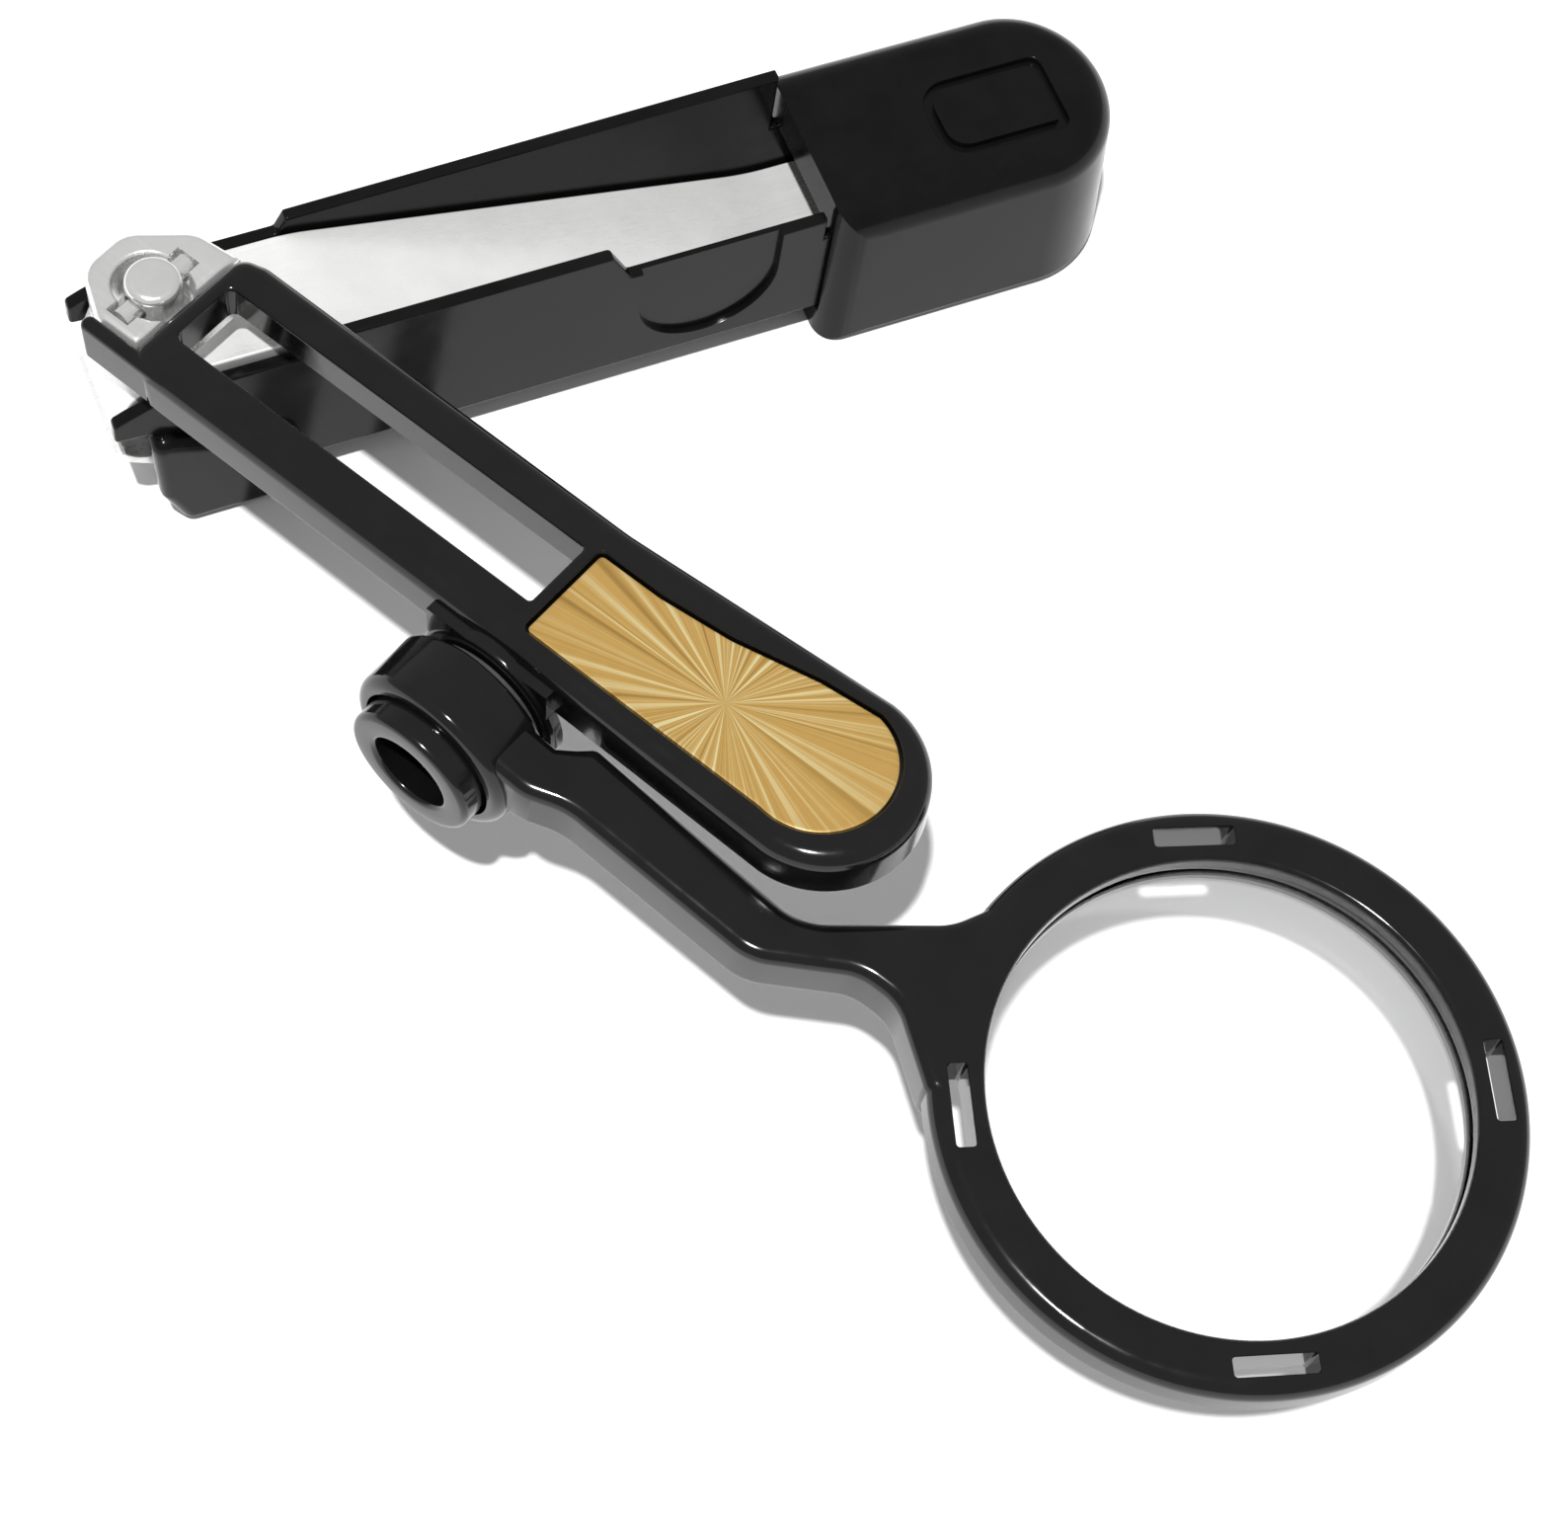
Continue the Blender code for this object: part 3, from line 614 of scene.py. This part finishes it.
def lever_shell():
    """The moulded lever: a window, a label pocket, a hinge boss and a cheek beside the steel nose."""
    shell = slab("lever_shell", cover_outline(), LEVER_UNDER, LEVER_TOP, LEVER, top=1.4, bottom=0.5, steps=7)
    plan = [(CHEEK_FRONT, -6.4, 0.6), (6.5, -6.45, 0.6)]
    plan += [(6.5, CHEEK_INSIDE, 0.6), (CHEEK_FRONT, CHEEK_INSIDE, 0.6)]
    low, high = LEVER_UNDER + 0.15, LEVER_TOP - 0.4
    join(shell, slab("cheek", rounded(plan), low, high, LEVER, top=0.5, bottom=0.3))
    strip_room = brick("strip_room", (-0.4, -5.7, -9), (66.0, 5.7, LEVER_UNDER + 1.5), LEVER)
    cut(shell, strip_room)
    hub = at(LEVER, HUB_X, 0, HUB_Z) @ ACROSS
    rim = [(BOSS_RADIUS - 0.4 + x, BOSS_OUTER + 0.4 - z) for x, z in arc((0, 0), 0.4, 0, 90, 4)]
    boss_profile = [(0, BOSS_INNER), (BOSS_RADIUS, BOSS_INNER)] + rim + [(0, BOSS_OUTER)]
    boss = turned("boss", boss_profile, 72, hub)
    root = brick("boss_root", (HUB_X - 5.6, BOSS_OUTER + 0.1, -2.4), (HUB_X + 5.6, -5.9, 0.6), LEVER)
    join(shell, boss, root)
    slot = [(SLOT_FRONT, SLOT_NEAR, 0.7), (SLOT_REAR, SLOT_NEAR, 0.3)]
    slot += [(SLOT_REAR, SLOT_FAR, 0.3), (SLOT_FRONT, SLOT_FAR, 0.7)]
    window = slab("window", dense(rounded(slot), 1.5), -9, LEVER_TOP, LEVER, top=-0.35)
    pocket = slab("pocket", label_outline(), LEVER_TOP - 0.9, LEVER_TOP + 0.05, LEVER, top=-0.3)
    cut(shell, window, pocket, rod("journal_hole", JOURNAL_RADIUS + GAP, -20, -5, 48, hub))
    return shell


def lever_spine():
    """The steel strip in the lever, with a thick nose round the post and a groove for the pin."""
    strip = brick("lever_spine", (0, -5.4, LEVER_UNDER), (65.5, 5.4, LEVER_UNDER + 1.2), LEVER)
    rear, side = COVER_FRONT - GAP, CHEEK_INSIDE + GAP
    shape = [(rear, side), (-1.2, side, 2.0), (-5.3, -2.2, 2.5)]
    shape += [(-5.3, 2.2, 2.6), (-1.2, 5.9, 2.6), (rear, 6.3)]
    nose = slab("nose", dense(rounded(shape, 12), 1.0), LEVER_UNDER - 0.4, 0.6, LEVER, top=0.8, bottom=0.5)
    join(strip, nose)
    eyelet = dense(rounded([(-3.3, -2.6, 2.5), (3.2, -2.6, 2.5), (3.2, 2.6, 2.5), (-3.3, 2.6, 2.5)]), 1.0)
    low, high = (SLOT_FRONT - 0.4, SLOT_NEAR - 1.2, -9), (SLOT_REAR + 0.9, SLOT_FAR + 1.2, 9)
    window = brick("window", low, high, LEVER)
    groove = brick("groove", (-1.1, -3.8, -1.1), (1.1, 3.8, 9), LEVER)
    cut(strip, window, slab("eyelet", eyelet, -9, 0.6, LEVER, top=-0.3), groove)
    return strip


def label_face():
    """The label in the lever's pocket. Everything but its flat face is the border."""
    low = LEVER_TOP - 0.8
    outline = [(x - LABEL_MIDDLE, y) for x, y in inset(label_outline(), 0.25)]
    sections = [(outline, low), (outline, low + 0.42), (inset(outline, 0.22), low + 0.5)]
    face = stacked("label_face", sections, at(LEVER, LABEL_MIDDLE))
    flat = max(face.data.polygons, key=lambda polygon: polygon.center.z)
    for polygon in face.data.polygons:
        polygon.material_index = int(polygon.index != flat.index)
    return face


# ---------------------------------------------------------------- magnifier


def hinge_stud():
    """The hollow stud that the magnifier turns on. Its open end stands out of the drum."""
    shoulder = DRUM_FLOOR - GAP
    rim = [(SLEEVE_RADIUS - 0.5 + x, SLEEVE_END + 0.5 - z) for x, z in arc((0, 0), 0.5, 0, 90, 6)]
    mouth = [(SLEEVE_BORE + 0.4 - x, SLEEVE_END + 0.4 - z) for x, z in arc((0, 0), 0.4, 90, 0, 6)]
    profile = [(0, BOSS_INNER), (JOURNAL_RADIUS, BOSS_INNER), (JOURNAL_RADIUS, shoulder)]
    profile += [(SLEEVE_RADIUS, shoulder)] + rim + mouth + [(SLEEVE_BORE, BORE_END), (0, BORE_END)]
    return turned("hinge_stud", profile, 96, HUB @ ACROSS)


def window_block(name, degrees):
    """A block right through the ring at one window, flaring out a little at the top."""
    first = WINDOW_MIDDLE - WINDOW_WIDTH / 2
    last = WINDOW_MIDDLE + WINDOW_WIDTH / 2
    angle = math.radians(degrees)
    along, across = Vector((math.cos(angle), math.sin(angle))), Vector((-math.sin(angle), math.cos(angle)))
    corners = []
    for reach, side in ((first, -1), (last, -1), (last, 1), (first, 1)):
        point = Vector(RING_CENTRE) + along * reach + across * (side * WINDOW_LENGTH / 2)
        corners.append((*point, 0.25))
    return slab(name, rounded(corners, 4), -9, RING_HIGH + 0.02, HUB, top=-0.15, steps=3)


def arm_outline():
    """The arm's plan: a bar from the drum that bends in and spreads into the ring."""
    far = [(42.5, 7.6, 1.2), (39.4, 6.6, 1.2), (36.4, -0.2, 5), (28.5, -7.4, 5), (9.5, -7.0, 1.1)]
    hub_end = [(8.5, -8.0), (7.4, -8.9), (3.2, -8.9, 1.2), (3.2, -13.3, 1.2), (8.0, -13.3, 4), (11, -12.1, 6)]
    near = [(27.6, -12.0, 5), (34.0, -7.6, 4), (37.2, -7.4, 4), (42.6, -11.0, 1.2), (46.6, -11.0, 1.2)]
    return dense(rounded(far + hub_end + near, 12), 1.2)


def magnifier_body():
    """Lens ring, arm and hinge drum in one moulding."""
    ring_place = at(HUB, *RING_CENTRE)
    top_edge = [(RING_OUTER - 1.3 + x, RING_HIGH - 1.3 + z) for x, z in arc((0, 0), 1.3, 90, 0, 8)]
    inner_edge = [(RING_INNER + 0.5 - x, RING_HIGH - 0.5 + z) for x, z in arc((0, 0), 0.5, 0, 90, 6)]
    profile = top_edge + [(RING_OUTER, RING_LOW + 0.3), (RING_OUTER - 0.3, RING_LOW), (SEAT_RADIUS, RING_LOW)]
    profile += [(SEAT_RADIUS, LENS_SEAT), (RING_INNER, LENS_SEAT)] + inner_edge
    body = turned("magnifier_body", profile, 180, ring_place)
    arm = slab("arm", arm_outline(), ARM_LOW, RING_HIGH, HUB, top=1.0, bottom=0.6, steps=6)
    cut(arm, rod("arm_end", (SEAT_RADIUS + RING_OUTER) / 2, -9, 9, 170, ring_place))
    outer_rim = [(DRUM_RADIUS - 0.9 + x, DRUM_OUTER + 0.9 - z) for x, z in arc((0, 0), 0.9, 0, 90, 6)]
    inner_rim = [(DRUM_RADIUS - 0.5 + x, DRUM_INNER - 0.5 + z) for x, z in arc((0, 0), 0.5, 90, 0, 4)]
    drum = turned("drum", [(0, DRUM_INNER)] + inner_rim + outer_rim + [(0, DRUM_OUTER)], 96, HUB @ ACROSS)
    join(body, arm, drum)
    windows = [window_block(f"window{index}", angle) for index, angle in enumerate(WINDOW_ANGLES)]
    turned_hub = HUB @ ACROSS @ Matrix.Rotation(0.013, 4, "Z")  # keeps the bores' edges off the drum's
    bore = rod("bore", SLEEVE_RADIUS + GAP, DRUM_OUTER - 2, DRUM_FLOOR, 90, turned_hub)
    journal = rod("journal", JOURNAL_RADIUS + GAP, DRUM_OUTER - 1, DRUM_INNER + 2, 44, turned_hub)
    cut(body, *windows, bore, journal)
    return body


def clear_lens():
    """The lens, thicker in the middle, under the ring's lip."""
    low, high = LENS_SEAT - GAP - LENS_EDGE, LENS_SEAT - GAP
    shares = [step / 24 for step in range(25)]
    upper = [(LENS_RADIUS * share, high + LENS_BULGE * (1 - share**2)) for share in shares]
    lower = [(radius, low + high - height) for radius, height in reversed(upper)]
    return turned("clear_lens", upper + lower, 144, at(HUB, *RING_CENTRE))


def retainer_ring():
    """The flat ring that holds the lens in from below."""
    outer = SEAT_RADIUS - GAP
    profile = [(outer, RETAINER_HIGH), (outer, RETAINER_LOW)]
    profile += [(RING_INNER, RETAINER_LOW), (RING_INNER, RETAINER_HIGH)]
    return turned("retainer_ring", profile, 180, at(HUB, *RING_CENTRE))


# ---------------------------------------------------------------- stage


def key_light(target):
    """One small lamp, nearly overhead, for the crisp shadows close beside the parts."""
    light = bpy.data.lights.new("key", "AREA")
    light.shape = "DISK"
    light.size = 0.05
    light.energy = 28
    lamp = bpy.data.objects.new("key", light)
    lamp.location = target + Vector((-0.36, -0.30, 1.43))
    lamp.rotation_euler = (target - lamp.location).to_track_quat("-Z", "Y").to_euler()
    bpy.context.scene.collection.objects.link(lamp)


def stage():
    """A pale floor, an even white surround and the key light."""
    low, high = CAD_BOX
    middle = (low + high) / 2
    nodes = Nodes("pale_floor")
    nodes.wire(nodes.mix(nodes.noise(9), (0.90, 0.90, 0.90), (0.92, 0.92, 0.92)), "Base Color")
    nodes.set(Roughness=0.9, Specular_IOR_Level=0.1)
    work = bmesh.new()
    bmesh.ops.create_grid(work, x_segments=1, y_segments=1, size=3000)
    floor = mesh_object("floor", work, Matrix.Translation((middle.x, middle.y, low.z - 0.0002)))
    floor.data.materials.append(nodes.material)
    world = bpy.data.worlds.new("studio")
    world.use_nodes = True
    world.node_tree.nodes["Background"].inputs["Color"].default_value = (1.0, 1.0, 1.0, 1.0)
    world.node_tree.nodes["Background"].inputs["Strength"].default_value = 0.42
    bpy.context.scene.world = world
    key_light(middle)


def camera():
    """The camera looks down by about 63 degrees from the jaws' near side, rolled by about 14 degrees."""
    data = bpy.data.cameras.new("camera")
    data.sensor_width = 36.0
    data.lens = 80.65
    data.clip_start, data.clip_end = 0.01, 20.0
    made = bpy.data.objects.new("camera", data)
    right = Vector((0.91779, -0.38220, 0.10763))
    above = Vector((0.30003, 0.84509, 0.44251))
    turn = Matrix((right, above, right.cross(above))).transposed().to_4x4()
    made.matrix_world = POST @ Matrix.Translation(Vector((-35.264, -144.598, 243.552)) * MM) @ turn
    bpy.context.scene.collection.objects.link(made)
    bpy.context.scene.camera = made


def main():
    moulded = gloss_plastic("black_moulding", BLACK, (0.0050, 0.0050, 0.0050), 0.08, 0.42)
    case_black = gloss_plastic("black_case", SOFT_BLACK, (0.0055, 0.0055, 0.0060), 0.12, 0.14)
    strip_steel = steel_painted_bright("strip_steel", ALONG_STRIP, 0.24, 0.45)
    nose_steel = steel_painted_bright("nose_steel", ALONG_STRIP, 0.18, 0.8)
    round_steel = steel_painted_bright("round_steel", ROUND_BAR, 0.12, 0.8)
    rubber = dull_rubber("washer_rubber")
    gold = gold_print("gold_print", 0.0145)
    cream = plain_print("cream_edging", CREAM)
    acrylic = clear_acrylic("clear_acrylic")
    finished(case_shell(), case_black, "case", "black_plastic", "case_channel")
    finished(lower_spring(), strip_steel, "case", "polished_steel", "lower_blade")
    finished(upper_spring(), strip_steel, "upper_blade", "polished_steel", "upper_blade")
    finished(cap_shell(), case_black, "cap", "black_plastic", "case_end_cap")
    finished(post_stem(), round_steel, "post", "polished_steel", "post")
    finished(lever_spine(), nose_steel, "lever", "polished_steel", "lever_core")
    finished(lever_shell(), moulded, "lever", "black_plastic", "lever_cover")
    finished(label_face(), gold, "lever", "gold_label", "label_plate", edging=cream)
    finished(hinge_stud(), moulded, "lever", "black_plastic", "hinge_sleeve")
    finished(magnifier_body(), moulded, "magnifier", "black_plastic", "magnifier_frame")
    finished(clear_lens(), acrylic, "magnifier", "clear_lens", "lens")
    finished(retainer_ring(), moulded, "magnifier", "black_plastic", "lens_retainer")
    kept = {"rear_rivet": round_steel, "cross_pin": round_steel, "friction_washer": rubber}
    for node, material in kept.items():
        frame["nodes"][node].data.materials.clear()
        frame["nodes"][node].data.materials.append(material)
    stage()
    camera()


main()
bpy.context.scene.view_settings.view_transform = "Standard"
